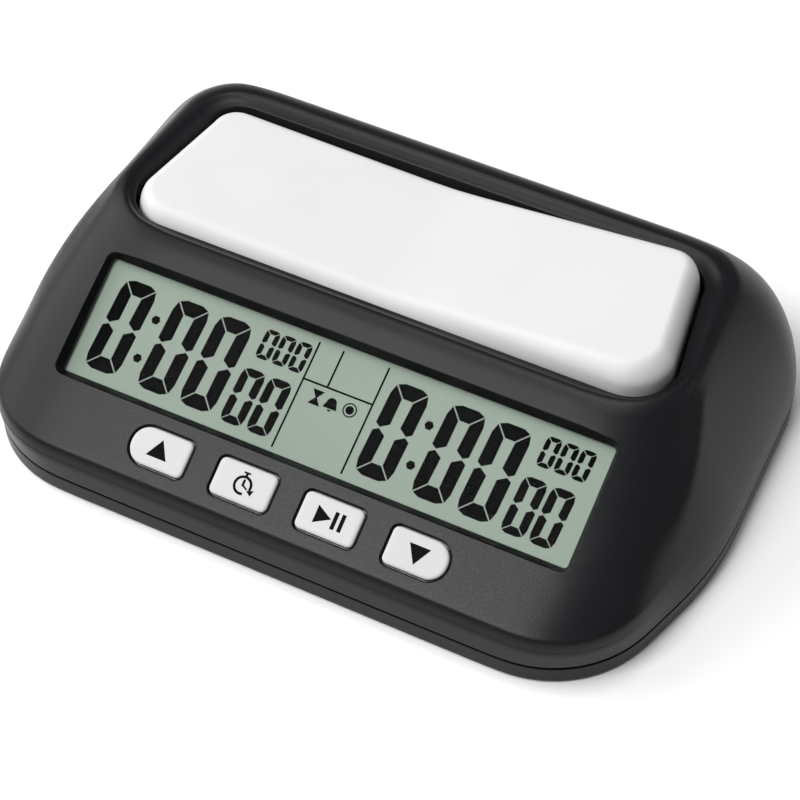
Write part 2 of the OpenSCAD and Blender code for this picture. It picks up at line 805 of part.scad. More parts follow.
module wires_buzzer() {
    color([0.1, 0.2, 0.7])
        for (dx = [0, 2.2])
            tube([for (p = route(buzzer_route, 5)) p - [dx, 0, 0]], 0.45, wire_sides);
}

// ---------- buzzer and power switch ----------

module piezo_disc() {
    color([0.8, 0.65, 0.3])
        translate([buzzer_xy[0], buzzer_xy[1], plate_top + 1.4]) {
            cylinder(r = buzzer_r, h = 0.3, $fn = 48);
            cylinder(r = 7, h = 0.5, $fn = 48);
        }
}

module piezo_retainer() {
    color([0.15, 0.15, 0.16])
        translate([buzzer_xy[0], buzzer_xy[1], plate_top + 1.72])
            difference() {
                cylinder(r = buzzer_r, h = 1.2, $fn = 48);
                translate([0, 0, -1]) cylinder(r = 8, h = 4, $fn = 48);
            }
}

module power_switch_body() {
    color(steel)
        translate([power_xy[0], power_xy[1], plate_top + 0.05])
            difference() {
                slab(-5.5, 5.5, -3, 3, 0, 4.6);
                slab(-3.6, 3.6, -1.8, 1.8, -1, 2.6);
            }
}

// At rest the knob is at its left-hand end, where the clock is on.
module power_switch_knob() {
    color([0.9, 0.9, 0.9])
        translate([power_xy[0] - power_travel / 2, power_xy[1], 0]) {
            slab(-1.6, 1.6, -1.3, 1.3, plate_z + 0.2, plate_top + 2.3);
            slab(-1.3, -0.7, -1.3, 1.3, plate_z, plate_z + 0.4);
            slab(0.7, 1.3, -1.3, 1.3, plate_z, plate_z + 0.4);
        }
}

upper_housing();
lower_housing();
rubber_feet();
case_screws();
rocker_cap();
rocker_carrier();
rocker_shaft();
shaft_clips();
key_up();
key_timer();
key_play();
key_down();
keypad_membrane();
contact_pills();
lcd_window();
lcd_frame();
lcd_front_polariser();
lcd_front_glass();
lcd_back_glass();
lcd_reflector();
zebra_strip();
main_board();
board_screws();
chip_cover();
quartz_crystal();
board_capacitors();
switch_board();
switch_board_screws();
switch_body_left();
switch_body_right();
switch_plunger_left();
switch_plunger_right();
board_ribbon();
battery_door();
battery_cell();
battery_spring();
battery_spring_plate();
battery_positive_contact();
wire_positive();
wire_negative();
wire_switched();
wires_buzzer();
piezo_disc();
piezo_retainer();
power_switch_body();
power_switch_knob();
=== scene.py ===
"""Digital chess clock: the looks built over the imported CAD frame.

Shapes are worked out in millimetres in the CAD frame and stored in metres.
"""

import json
import math

import bpy
import numpy as np
from mathutils import Matrix, Vector
from mathutils.geometry import convex_hull_2d


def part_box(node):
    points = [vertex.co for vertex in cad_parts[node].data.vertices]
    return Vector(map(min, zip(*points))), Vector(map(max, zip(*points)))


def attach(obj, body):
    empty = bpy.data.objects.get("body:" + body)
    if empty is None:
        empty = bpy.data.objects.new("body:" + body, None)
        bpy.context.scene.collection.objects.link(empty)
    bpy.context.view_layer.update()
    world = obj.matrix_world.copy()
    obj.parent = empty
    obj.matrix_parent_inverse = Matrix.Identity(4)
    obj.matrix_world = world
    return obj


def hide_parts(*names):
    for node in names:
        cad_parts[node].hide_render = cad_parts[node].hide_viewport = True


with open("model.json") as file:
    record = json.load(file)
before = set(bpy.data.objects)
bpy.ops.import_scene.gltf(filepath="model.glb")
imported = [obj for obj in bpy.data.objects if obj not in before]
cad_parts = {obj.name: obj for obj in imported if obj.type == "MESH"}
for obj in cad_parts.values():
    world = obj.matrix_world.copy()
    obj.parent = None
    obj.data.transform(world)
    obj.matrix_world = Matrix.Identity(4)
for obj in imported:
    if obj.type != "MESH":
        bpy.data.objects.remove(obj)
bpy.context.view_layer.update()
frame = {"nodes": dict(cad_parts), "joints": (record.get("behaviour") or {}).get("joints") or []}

MM = 0.001


# ---------- dimensions read from the frame ----------

def node_box(node):
    """Lowest and highest corners of a CAD node, in millimetres."""
    low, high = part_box(node)
    return np.array(low) / MM, np.array(high) / MM


def node_centre(node):
    """The middle of a CAD node in plan."""
    low, high = node_box(node)
    return (low[:2] + high[:2]) / 2


JOINTS = {joint["name"]: joint for joint in frame["joints"]}
LOWER_LOW = node_box("lower_housing")[0]
UPPER_LOW, UPPER_HIGH = node_box("upper_housing")

CASE_HALF_W = UPPER_HIGH[0]
FRONT_Y = UPPER_LOW[1]
BACK_Y = UPPER_HIGH[1]
PARTING_Z = UPPER_LOW[2]
RIM_Z = UPPER_HIGH[2]
RIM_LOW = LOWER_LOW[2]
FLOOR_Z = node_box("battery_door")[0][2]
WALL = 2.2

KEY_NODES = ["key_up", "key_timer", "key_play", "key_down"]
KEY_AXIS = JOINTS["key_up_press"]["axis"]
TILT = math.atan2(KEY_AXIS[1], -KEY_AXIS[2])
UP_SLOPE = np.array([0, math.cos(TILT), math.sin(TILT)])
OUT = np.array([0, -math.sin(TILT), math.cos(TILT)])

# Heights along the face normal, from the display's own level.
WINDOW_TOP = 0.25
WINDOW_T = 1.0
RECESS_FLOOR = 0.3
FACE_UP = 2.4
WINDOW_LOW, WINDOW_HIGH = node_box("lcd_window")
DISPLAY = (WINDOW_LOW + WINDOW_HIGH) / 2 + OUT * (WINDOW_T / 2 - WINDOW_TOP)
VIEW_W = WINDOW_HIGH[0] - WINDOW_LOW[0] - 3.2
VIEW_H = 24.5

PIVOT = np.array(JOINTS["rocker_tilt"]["pos_m"]) / MM
REST_TILT = math.radians(JOINTS["rocker_tilt"]["range_deg"][1] / 2)


def on_face(x, v, w):
    """A point on the display face: x to the right, v up the slope, w out of the face."""
    return DISPLAY + np.array([x, 0, 0]) + UP_SLOPE * v + OUT * w


# ---------- meshes ----------

def arc(cx, cy, radius, a0, a1, steps):
    """Points along an arc between two angles in degrees."""
    angles = np.radians(np.linspace(a0, a1, steps + 1))
    return np.stack([cx + radius * np.cos(angles), cy + radius * np.sin(angles)], 1)


def round_box(width, height, radius, steps=8):
    """Outline of a rounded rectangle, anticlockwise."""
    w, h = width / 2 - radius, height / 2 - radius
    return np.vstack([arc(w, h, radius, 0, 90, steps), arc(-w, h, radius, 90, 180, steps),
                      arc(-w, -h, radius, 180, 270, steps), arc(w, -h, radius, 270, 360, steps)])


def level(points, z):
    """A flat outline raised to a height, or to one height for each point."""
    return np.column_stack([points, np.broadcast_to(z, len(points))])


def loft(rings):
    """Vertices and faces of closed rings joined in order and capped at both ends."""
    rings = np.asarray(rings, float)
    count, n, _ = rings.shape
    k = np.arange(n)
    nxt = (k + 1) % n
    faces = []
    for i in range(count - 1):
        a = i * n
        faces += np.stack([a + k, a + nxt, a + n + nxt, a + n + k], 1).tolist()
    faces.append(k[::-1].tolist())
    faces.append(((count - 1) * n + k).tolist())
    return rings.reshape(-1, 3), faces


def joined(parts):
    """One mesh out of several (vertices, faces) pairs."""
    verts, faces, start = [], [], 0
    for v, f in parts:
        verts.append(v)
        faces += [[start + i for i in face] for face in f]
        start += len(v)
    return np.vstack(verts), faces


def new_object(name, shape, material):
    """An object from (vertices in mm, faces)."""
    verts, faces = shape
    mesh = bpy.data.meshes.new(name)
    mesh.from_pydata((np.asarray(verts) * MM).tolist(), [], faces)
    mesh.validate()
    mesh.update()
    obj = bpy.data.objects.new(name, mesh)
    bpy.context.scene.collection.objects.link(obj)
    mesh.materials.append(material)
    return obj


def evaluated(obj):
    """Applies an object's modifiers to its mesh."""
    graph = bpy.context.evaluated_depsgraph_get()
    mesh = bpy.data.meshes.new_from_object(obj.evaluated_get(graph))
    old = obj.data
    obj.modifiers.clear()
    obj.data = mesh
    bpy.data.meshes.remove(old)
    return obj


def combine(obj, tool, operation="DIFFERENCE"):
    """Cuts another object from obj, or joins it on, and uses it up."""
    cut = obj.modifiers.new("cut", "BOOLEAN")
    cut.operation = operation
    cut.solver = "EXACT"
    cut.material_mode = "TRANSFER"
    cut.object = tool
    evaluated(obj)
    bpy.data.objects.remove(tool)


def carve(obj, shape, material=None):
    """Cuts a shape from obj; the cut faces take a material of their own if one is given."""
    combine(obj, new_object("tool", shape, material or obj.data.materials[0]))


def join_on(obj, shape):
    """Joins a shape to obj."""
    combine(obj, new_object("tool", shape, obj.data.materials[0]), "UNION")


def smooth(obj, angle=32):
    """Smooth shading with true edges kept, and flat faces left flat."""
    mesh = obj.data
    mesh.polygons.foreach_set("use_smooth", [True] * len(mesh.polygons))
    mesh.set_sharp_from_angle(angle=math.radians(angle))
    weighted = obj.modifiers.new("weighted", "WEIGHTED_NORMAL")
    weighted.keep_sharp = True
    weighted.weight = 80
    return evaluated(obj)


def piece(obj, body, slot, *nodes):
    """Puts a finished piece on its body and hides the CAD nodes it stands for."""
    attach(obj, body)
    if nodes:
        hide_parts(*nodes)


def turned(profile, x, y, sides=64):
    """A turned shape about a vertical axis, from (radius, height) pairs, bottom to top."""
    a = np.linspace(0, 2 * math.pi, sides, endpoint=False)
    ring = np.stack([np.cos(a), np.sin(a)], 1)
    return loft([level(ring * max(r, 0.01) + [x, y], h) for r, h in profile])


def fillet(low, high, steps=5):
    """Quarter-round (inset, rise) steps from the wall up to the top, for a given radius."""
    return [(low * (1 - math.cos(math.radians(90 * i / steps))),
             high * math.sin(math.radians(90 * i / steps))) for i in range(steps + 1)]


# ---------- materials ----------

def add_noise(nodes, links, coords, scale):
    """A 0 to 1 noise value over the given coordinates."""
    noise = nodes.new("ShaderNodeTexNoise")
    noise.inputs["Scale"].default_value = scale
    noise.inputs["Detail"].default_value = 3
    links.new(coords, noise.inputs["Vector"])
    return noise.outputs["Fac"]


def spread(nodes, links, value, low, high):
    """Maps the middle of a 0 to 1 value onto low to high."""
    remap = nodes.new("ShaderNodeMapRange")
    remap.inputs["From Min"].default_value = 0.3
    remap.inputs["From Max"].default_value = 0.7
    remap.inputs["To Min"].default_value = low
    remap.inputs["To Max"].default_value = high
    links.new(value, remap.inputs["Value"])
    return remap.outputs["Result"]


def blended(nodes, links, share, first, second):
    """A colour that goes from the first to the second as share goes from 0 to 1."""
    blend = nodes.new("ShaderNodeMix")
    blend.data_type = "RGBA"
    blend.inputs[6].default_value = (*first, 1)
    blend.inputs[7].default_value = (*second, 1)
    links.new(share, blend.inputs[0])
    return blend.outputs[2]


def grained(nodes, links, height, depth):
    """A normal that follows a fine grain, depth millimetres high."""
    bump = nodes.new("ShaderNodeBump")
    bump.inputs["Strength"].default_value = 0.6
    bump.inputs["Distance"].default_value = depth * MM
    links.new(height, bump.inputs["Height"])
    return bump.outputs["Normal"]


def finish_material(name, colour, roughness, metallic=0.0, mottle=0.06, patch=60,
                    grain=2500, depth=0.02, rough_spread=0.05, stretch=(1, 1, 1), alpha=1.0,
                    specular=0.5, second=None):
    """A moulded, painted or metal surface: cloudy colour, uneven gloss and a fine grain.

    patch and grain are noise scales per metre, depth is the grain's height in millimetres,
    stretch pulls the grain out along an axis as brushing does, and second is a colour
    that the clouds lead to.
    """
    material = bpy.data.materials.new(name)
    material.use_nodes = True
    nodes, links = material.node_tree.nodes, material.node_tree.links
    shader = nodes["Principled BSDF"]
    place = nodes.new("ShaderNodeTexCoord").outputs["Object"]
    darker = [c * (1 - mottle) for c in colour]
    lighter = second or [min(1, c * (1 + mottle)) for c in colour]
    clouds = spread(nodes, links, add_noise(nodes, links, place, patch), 0, 1)
    links.new(blended(nodes, links, clouds, darker, lighter), shader.inputs["Base Color"])

    pulled = nodes.new("ShaderNodeMapping")
    pulled.inputs["Scale"].default_value = stretch
    links.new(place, pulled.inputs["Vector"])
    fine = add_noise(nodes, links, pulled.outputs["Vector"], grain)
    gloss = spread(nodes, links, fine, roughness - rough_spread, roughness + rough_spread)
    links.new(gloss, shader.inputs["Roughness"])
    links.new(grained(nodes, links, fine, depth), shader.inputs["Normal"])

    shader.inputs["Metallic"].default_value = metallic
    shader.inputs["Specular IOR Level"].default_value = specular
    shader.inputs["Alpha"].default_value = alpha
    return material


CHARCOAL = finish_material("charcoal_abs", (0.010, 0.0105, 0.012), 0.34, depth=0.03,
                           grain=3200, mottle=0.1, patch=45, specular=0.18)
# Painted shade: near-black for the walls of the display recess and of the key wells, darker than
# the case's own charcoal plastic.
RECESS_PAINTED_SHADE = finish_material("recess_painted_shade", (0.003, 0.003, 0.0035), 0.35, depth=0.006,
                               specular=0.15)
WHITE = finish_material("rocker_white", (0.67, 0.67, 0.675), 0.55, depth=0.006,
                        mottle=0.015, rough_spread=0.04, specular=0.12)
KEY_WHITE = finish_material("key_white", (0.55, 0.55, 0.56), 0.45, depth=0.006, mottle=0.015,
                            specular=0.2)
PRINT = finish_material("black_print", (0.004, 0.004, 0.004), 0.5, depth=0.004, mottle=0.1,
                        specular=0.02)
SEGMENT = finish_material("display_segment", (0.003, 0.003, 0.003), 0.45, depth=0.001,
                          mottle=0.1, patch=900, specular=0)
FILM = finish_material("display_film", (0.27, 0.33, 0.277), 0.35, depth=0.002, grain=6000,
                       mottle=0.03, patch=25, second=(0.285, 0.348, 0.294), specular=0.03)
CLEAR = finish_material("window_acrylic", (0.02, 0.022, 0.021), 0.08, depth=0.001,
                        rough_spread=0.02, alpha=0.02, mottle=0.01, specular=0.2)
GLASS = finish_material("display_glass", (0.75, 0.83, 0.77), 0.1, depth=0.001,
                        rough_spread=0.02, alpha=0.35, mottle=0.02)
RUBBER = finish_material("foot_rubber", (0.018, 0.018, 0.019), 0.75, depth=0.06, grain=1800,
                         mottle=0.2)
STEEL = finish_material("plated_steel", (0.62, 0.62, 0.64), 0.3, metallic=1, depth=0.008,
                        stretch=(1, 1, 9), mottle=0.06)
DARK_STEEL = finish_material("blackened_steel", (0.16, 0.15, 0.15), 0.42, metallic=1,
                             depth=0.01, mottle=0.15)
BRASS = finish_material("rolled_brass", (0.72, 0.5, 0.2), 0.3, metallic=1, depth=0.006,
                        stretch=(1, 12, 1), mottle=0.06)
SILICONE = finish_material("grey_silicone", (0.42, 0.43, 0.45), 0.62, depth=0.02, mottle=0.05)
CARBON = finish_material("carbon_pill", (0.02, 0.02, 0.022), 0.7, depth=0.03, mottle=0.2)
BLACK_PLASTIC = finish_material("black_nylon", (0.022, 0.022, 0.024), 0.48, depth=0.02,
                                mottle=0.12)
RED_PLASTIC = finish_material("red_acetal", (0.55, 0.05, 0.04), 0.4, depth=0.008)
GREY_PLASTIC = finish_material("grey_acetal", (0.55, 0.56, 0.57), 0.45, depth=0.015)
KNOB = finish_material("pale_nylon", (0.72, 0.72, 0.73), 0.45, depth=0.01)
EPOXY = finish_material("black_epoxy", (0.012, 0.012, 0.012), 0.18, depth=0.05, grain=500)
CERAMIC = finish_material("fired_ceramic", (0.45, 0.32, 0.2), 0.4, depth=0.01, mottle=0.1)
RIBBON = finish_material("ribbon_film", (0.6, 0.6, 0.62), 0.4, depth=0.03, grain=900,
                         stretch=(3, 0.1, 0.1))
RED_WIRE = finish_material("red_insulation", (0.6, 0.03, 0.025), 0.45, depth=0.01)
BLACK_WIRE = finish_material("black_insulation", (0.02, 0.02, 0.02), 0.45, depth=0.01)
BLUE_WIRE = finish_material("blue_insulation", (0.03, 0.08, 0.45), 0.45, depth=0.01)


def striped(name, first, second, across, pitch, share=0.5, **settings):
    """A surface with straight stripes of a second colour, pitch millimetres apart."""
    material = finish_material(name, first, **settings)
    nodes, links = material.node_tree.nodes, material.node_tree.links
    shader = nodes["Principled BSDF"]
    axes = nodes.new("ShaderNodeSeparateXYZ")
    links.new(nodes.new("ShaderNodeTexCoord").outputs["Object"], axes.inputs["Vector"])
    phase = nodes.new("ShaderNodeMath")
    phase.operation = "PINGPONG"
    phase.inputs[1].default_value = pitch * MM
    links.new(axes.outputs[across], phase.inputs[0])
    edge = nodes.new("ShaderNodeMath")
    edge.operation = "LESS_THAN"
    edge.inputs[1].default_value = pitch * MM * share
    links.new(phase.outputs[0], edge.inputs[0])
    ground = shader.inputs["Base Color"].links[0].from_socket
    mixed = blended(nodes, links, edge.outputs[0], first, second)
    links.new(ground, mixed.node.inputs[6])
    links.new(mixed, shader.inputs["Base Color"])
    return material


ZEBRA = striped("zebra_silicone", (0.62, 0.28, 0.4), (0.03, 0.03, 0.03), "X", 0.5,
                roughness=0.55, depth=0.01)
BOARD = striped("board_laminate", (0.012, 0.11, 0.045), (0.03, 0.2, 0.08), "X", 1.3, 0.3,
                roughness=0.25, depth=0.02, grain=1500, mottle=0.2)
SLEEVE = striped("cell_sleeve", (0.5, 0.36, 0.1), (0.03, 0.03, 0.033), "X", 60, 0.28,
                 roughness=0.28, metallic=0.6, depth=0.004)


# ---------- the case's outline ----------

SIDE_LEAN, FRONT_LEAN, BACK_LEAN, BACK_ROLL = 13.4, 9.2, 15, 11.2
LEAN_CURVE, BACK_CURVE = 1.35, 1.7
FRONT_HALF = CASE_HALF_W - 4.7
BACK_HALF = CASE_HALF_W - 1.1
BULGE_Y, BULGE_R = -3, 72
LEDGE = 0.3

ROCKER_LOW, ROCKER_HIGH = node_box("rocker_cap")
ROCKER_FRONT, ROCKER_BACK = ROCKER_LOW[1], ROCKER_HIGH[1]
ROCKER_MID = (ROCKER_FRONT + ROCKER_BACK) / 2
SWITCH_Y = 14.1
ROCKER_HALF = 57.9
ROCKER_BACK_HALF = ROCKER_HALF - 3.6
ROCKER_FRONT_R, ROCKER_BACK_R = 9, 6.5
ROCKER_GAP = 0.7
ROCKER_SADDLE = 33.67
ROCKER_FOOT = 26
ROCKER_VEE = math.tan(math.radians(3.6))
ROCKER_SKIN = 2
POCKET_FLOOR = 22.8
POCKET_WALL = 1.6
DISH_LOW = 33.3


def angle_fan(*stretches):
    """Angles from (start, end, step) stretches, mirrored to a full turn."""
    right = np.concatenate([np.arange(a, b, step) for a, b, step in stretches] + [[90.0]])
    return np.radians(np.concatenate([right, (180 - right)[-2:0:-1]]))


CASE_FAN = angle_fan((-90, -54, 2), (-54, -26, 1), (-26, -8, 0.75), (-8, 8, 2),
                     (8, 26, 0.75), (26, 90, 1.6))


def fan_ring(outline, fan=CASE_FAN, centre=(0, ROCKER_MID)):
    """Where rays from a centre, the rocker's middle unless given, meet a convex outline."""
    middle = np.array(centre)
    points = outline - middle
    angles = np.unwrap(np.arctan2(points[:, 1], points[:, 0]))
    order = np.argsort(angles % (2 * math.pi))
    points, angles = points[order], (angles % (2 * math.pi))[order]
    ring = []
    for a in fan:
        i = np.searchsorted(angles, a % (2 * math.pi)) % len(points)
        p, q = points[i - 1], points[i]
        ray = np.array([math.cos(a), math.sin(a)])
        edge = q - p
        t = (p[0] * edge[1] - p[1] * edge[0]) / (ray[0] * edge[1] - ray[1] * edge[0])
        ring.append(middle + ray * t)
    return np.array(ring)


def rise(z):
    """How far height z is from the parting line up to the rim, 0 to 1."""
    return max(0, (z - PARTING_Z) / (RIM_Z - PARTING_Z))


def case_outline(z, front, inset=0.0):
    """The case at height z: front corners, bulged sides and rear corners, wrapped round."""
    front_r = max(15.5, 24 - 16 * rise(z))
    back_r = 20.5 - 9 * rise(z)
    lean = rise(z) ** LEAN_CURVE
    front_x = FRONT_HALF - FRONT_LEAN * lean - front_r
    side_x = CASE_HALF_W - SIDE_LEAN * lean - BULGE_R
    back_x = BACK_HALF - BACK_LEAN * rise(z) ** BACK_CURVE - back_r
    back = BACK_Y - BACK_ROLL * rise(z) ** 3.2
    start = front + front_r - inset
    side = arc(side_x, BULGE_Y, BULGE_R - inset, -24, 24, 60)
    side = side[(side[:, 1] > start + 1) & (side[:, 1] < back - back_r - 1)]
    right = np.vstack([arc(front_x, start, front_r - inset, -90, 0, 60), side,
                       arc(back_x, back - back_r, back_r - inset, 0, 90, 60)])
    both = np.vstack([right, right * [-1, 1]])
    return both[convex_hull_2d([Vector(p) for p in both])]


def face_line(z, sunk=0.0):
    """Where the sloping face, or a plane sunk under it, meets height z."""
    up = FACE_UP - sunk
    foot = DISPLAY + OUT * up
    return foot[1] + (z - foot[2]) / math.tan(TILT)


NOSE_WALL = FRONT_Y + LEDGE
NOSE_START = PARTING_Z + 5.3
NOSE_SLOPE = math.tan(math.radians(10))
NOSE_SPREAD = 1


def nose_curve():
    """Corner points (y, z) of the curve that rolls the sloping face into the crease."""
    face = DISPLAY + OUT * FACE_UP
    fall = math.tan(TILT)
    y0, z0 = NOSE_WALL, NOSE_START
    z1 = (face[2] + fall * (y0 - NOSE_SLOPE * z0 - face[1])) / (1 - fall * NOSE_SLOPE)
    y1 = y0 + NOSE_SLOPE * (z1 - z0)
    return (y0, z0), (y1, z1), (y1 + NOSE_SPREAD, z1 + NOSE_SPREAD * fall)


NOSE = nose_curve()
NOSE_END = NOSE[2][1]

# The skirt's front, as (height over the parting line, inset): it turns in to a soft crease.
SKIRT = [(0.6, 0), (3.4, 0), (4.1, 0.02), (4.7, 0.08), (5.1, 0.18), (5.3, LEDGE)]


def front_line(z):
    """The front of the case at height z: skirt, crease, rounded nose and sloping face."""
    if z >= NOSE_END:
        return face_line(z)
    if z > NOSE_START:
        (y0, z0), (y1, z1), (y2, z2) = NOSE
        a, b, c = z0 - 2 * z1 + z2, 2 * (z1 - z0), z0 - z
        t = 2 * c / (-b - math.sqrt(b * b - 4 * a * c))
        return (1 - t) ** 2 * y0 + 2 * t * (1 - t) * y1 + t * t * y2
    heights, insets = zip(*SKIRT)
    return FRONT_Y + float(np.interp(z - PARTING_Z, heights, insets))


def rocker_outline(grow):
    """The rocker's plan grown all round: wide in front and narrower behind."""
    f, b = ROCKER_FRONT_R, ROCKER_BACK_R
    back_x, front_x = ROCKER_BACK_HALF - b, ROCKER_HALF - f
    return np.vstack([arc(back_x, ROCKER_BACK - b, b + grow, 0, 90, 24),
                      arc(-back_x, ROCKER_BACK - b, b + grow, 90, 180, 24),
                      arc(-front_x, ROCKER_FRONT + f, f + grow, 180, 270, 24),
                      arc(front_x, ROCKER_FRONT + f, f + grow, 270, 360, 24)])


def softened(ring, reach=2):
    """A ring with its tight bends eased by averaging neighbouring points."""
    wrapped = np.vstack([ring[-reach:], ring, ring[:reach]])
    share = np.full(2 * reach + 1, 1 / (2 * reach + 1))
    return np.column_stack([np.convolve(column, share, "valid") for column in wrapped.T])


def case_ring(z, inset=0.0, front=None):
    """The case's ring at height z, drawn in by an inset."""
    line = front_line(z) + inset if front is None else front
    return level(softened(fan_ring(case_outline(z, line, inset))), z)


def plan_ring(grow, z):
    """A level ring round the rocker's plan."""
    return level(fan_ring(rocker_outline(grow)), z)


def cylinder(x, y, radius, z0, z1, sides=40):
    """An upright cylinder from z0 to z1."""
    return turned([(radius, z0), (radius, z1)], x, y, sides)


def slab(x0, x1, y0, y1, z0, z1):
    """A box with its sides along the axes."""
    base = np.array([[x0, y0], [x1, y0], [x1, y1], [x0, y1]], float)
    return loft([level(base, z0), level(base, z1)])


def face_loft(steps):
    """A loft on the display face from (outline, height) pairs."""
    return loft([[on_face(x, v, w) for x, v in outline] for outline, w in steps])


def face_cylinder(x, v, radius, w0, w1, sides=32):
    """A cylinder square to the display face, from height w0 to w1."""
    ring = arc(x, v, radius, 0, 360, sides)[:-1]
    return face_loft([(ring, w0), (ring, w1)])


# ---------- case ----------

CASE_SCREWS = [(66.5, -10), (-66.5, -10), (62, 34), (-62, 34)]
CASE_BOSS_R, CASE_BORE_R, CASE_BORE_TOP = 3, 1.45, 16
BOARD_BOSSES = [(59.2, 8), (-59.2, 8), (42, -20), (-42, -20)]
BOARD_BOSS_R, SMALL_BORE_R = 2.2, 0.95
SWITCH_BOSS_XS = (-19.5, 19.5)
SWITCH_BOSS_R, SWITCH_BOSS_LOW, SWITCH_BORE_TOP = 2, 16.8, 21.3
LEG_XS = (-14, 14)
LEG_SLOT_X, LEG_SLOT_Y = 2.6, 3
EAR_YS, EAR_T, EAR_R = (7, 19.2), 2.6, 2.6
SHAFT_R = 1.5
FOOT_CENTRES = [(54, -34), (-54, -34), (48, 38), (-48, 38)]
FOOT_R = 5
KEY_V = -20.25
KEY_W, KEY_H = 12.4, 7.6
KEY_GAP = 0.35
KEY_PROUD = 0.3
KEY_CORNER, KEY_END = 1.2, 3.6
BOARD_TOP = -5.5


def key_outline(i, grow, x=0.0, v=0.0):
    """A key's outline; the two end keys have one half-round side."""
    left = KEY_END if i == 0 else KEY_CORNER
    right = KEY_END if i == 3 else KEY_CORNER
    w, h = KEY_W / 2, KEY_H / 2
    points = np.vstack([arc(w - right, h - right, right + grow, 0, 90, 12),
                        arc(left - w, h - left, left + grow, 90, 180, 12),
                        arc(left - w, left - h, left + grow, 180, 270, 12),
                        arc(w - right, right - h, right + grow, 270, 360, 12)])
    return points + np.array([x, v])


def upper_outer():
    """The dome, its rolled rim, the dish round the rocker and the rocker's pocket."""
    edge = [case_ring(PARTING_Z, 0.12), case_ring(PARTING_Z + 0.04, 0.03),
            case_ring(PARTING_Z + 0.14)]
    skirt = [case_ring(PARTING_Z + height) for height, inset in SKIRT]
    nose = [case_ring(z) for z in np.linspace(NOSE_START, NOSE_END, 14)[1:]]
    roll_start = RIM_Z - 1.1
    dome = [case_ring(z) for z in np.linspace(NOSE_END, roll_start, 26)[1:]]
    ridge = case_ring(RIM_Z + 0.35, 0.9, face_line(RIM_Z + 0.35))
    dish_edge = plan_ring(ROCKER_GAP + 0.35, DISH_LOW)
    inner = ridge + (dish_edge - ridge) * 0.3
    roll = [(1 - t) ** 2 * dome[-1] + 2 * t * (1 - t) * ridge + t * t * inner
            for t in np.linspace(0, 1, 10)[1:]]
    dish = []
    for t in np.linspace(0, 1, 6)[1:]:
        ring = inner + (dish_edge - inner) * t
        ring[:, 2] -= 0.18 * math.sin(math.pi * t)
        dish.append(ring)
    lip = [plan_ring(ROCKER_GAP + g, DISH_LOW - d) for g, d in ((0.14, 0.08), (0.03, 0.22))]
    pocket = [plan_ring(ROCKER_GAP, z) for z in (DISH_LOW - 0.45, POCKET_FLOOR)]
    return loft(edge + skirt + nose + dome + roll + dish + lip + pocket)


def upper_cavity():
    """The hollow inside the dome, before the parts that stay solid are put back."""
    sunk = FACE_UP - RECESS_FLOOR
    levels = [PARTING_Z - 0.1, 8, 11.4, 12.6, 15, 18, 22, 26, 29, 31.2]
    return loft([case_ring(z, WALL, max(NOSE_WALL + WALL, face_line(z, sunk)))
                 for z in levels])


def case_bosses():
    """The screw bosses that stay solid inside the dome."""
    bosses = [cylinder(x, y, CASE_BOSS_R, PARTING_Z + 0.1, RIM_Z) for x, y in CASE_SCREWS]
    bosses += [face_cylinder(x, v, BOARD_BOSS_R, BOARD_TOP + 0.05, 8) for x, v in BOARD_BOSSES]
    bosses += [cylinder(x, SWITCH_Y, SWITCH_BOSS_R, SWITCH_BOSS_LOW + 0.05, POCKET_FLOOR + 0.2)
               for x in SWITCH_BOSS_XS]
    return joined(bosses)


def build_hollow():
    """The space inside the dome, round the rocker's pocket and the bosses."""
    hollow = new_object("hollow", upper_cavity(), CHARCOAL)
    carve(hollow, loft([plan_ring(ROCKER_GAP + POCKET_WALL, z)
                        for z in (POCKET_FLOOR - POCKET_WALL, RIM_Z)]))
    carve(hollow, case_bosses())
    return hollow


def open_window(case):
    """The display's recess with its rolled edge, its walls painted near-black as painted shade,
    and the seat behind it.
    """
    edge = [(0, -1.6), (0, RECESS_FLOOR), (2.1, FACE_UP - 0.38), (2.3, FACE_UP - 0.2),
            (2.6, FACE_UP - 0.06), (2.9, FACE_UP + 0.06), (2.9, FACE_UP + 3)]
    carve(case, face_loft([(round_box(VIEW_W + g, VIEW_H + g, 0.8 + g / 2), w)
                           for g, w in edge]), RECESS_PAINTED_SHADE)
    carve(case, face_loft([(round_box(VIEW_W + 4.5, VIEW_H + 3.2, 1.2), w)
                           for w in (-1.8, RECESS_FLOOR - 0.02)]))


def open_wells(case):
    """The four key wells, each with a soft edge, their walls painted near-black as painted shade.
    """
    edge = [(0, -1), (0, FACE_UP - 0.24), (0.06, FACE_UP - 0.1), (0.2, FACE_UP - 0.01),
            (0.42, FACE_UP + 0.03), (0.42, FACE_UP + 2)]
    wells = []
    for i, node in enumerate(KEY_NODES):
        x = node_centre(node)[0]
        wells.append(face_loft([(key_outline(i, KEY_GAP + g, x, KEY_V), w) for g, w in edge]))
    carve(case, joined(wells), RECESS_PAINTED_SHADE)


def bore_upper(case):
    """The screw bores, and the slots that the rocker's legs pass through."""
    bores = [cylinder(x, y, CASE_BORE_R, PARTING_Z - 1, CASE_BORE_TOP) for x, y in CASE_SCREWS]
    bores += [face_cylinder(x, v, SMALL_BORE_R, BOARD_TOP, 0) for x, v in BOARD_BOSSES]
    bores += [cylinder(x, SWITCH_Y, SMALL_BORE_R, SWITCH_BOSS_LOW, SWITCH_BORE_TOP)
              for x in SWITCH_BOSS_XS]
    bores += [slab(x - LEG_SLOT_X, x + LEG_SLOT_X, SWITCH_Y - LEG_SLOT_Y, SWITCH_Y + LEG_SLOT_Y,
                   20, 24) for x in LEG_XS]
    carve(case, joined(bores))


def upright_plate(outline, y0, y1):
    """An outline of (x, z) points drawn out from y0 to y1."""
    return loft([np.array([[x, y, z] for x, z in outline[::-1]]) for y in (y0, y1)])


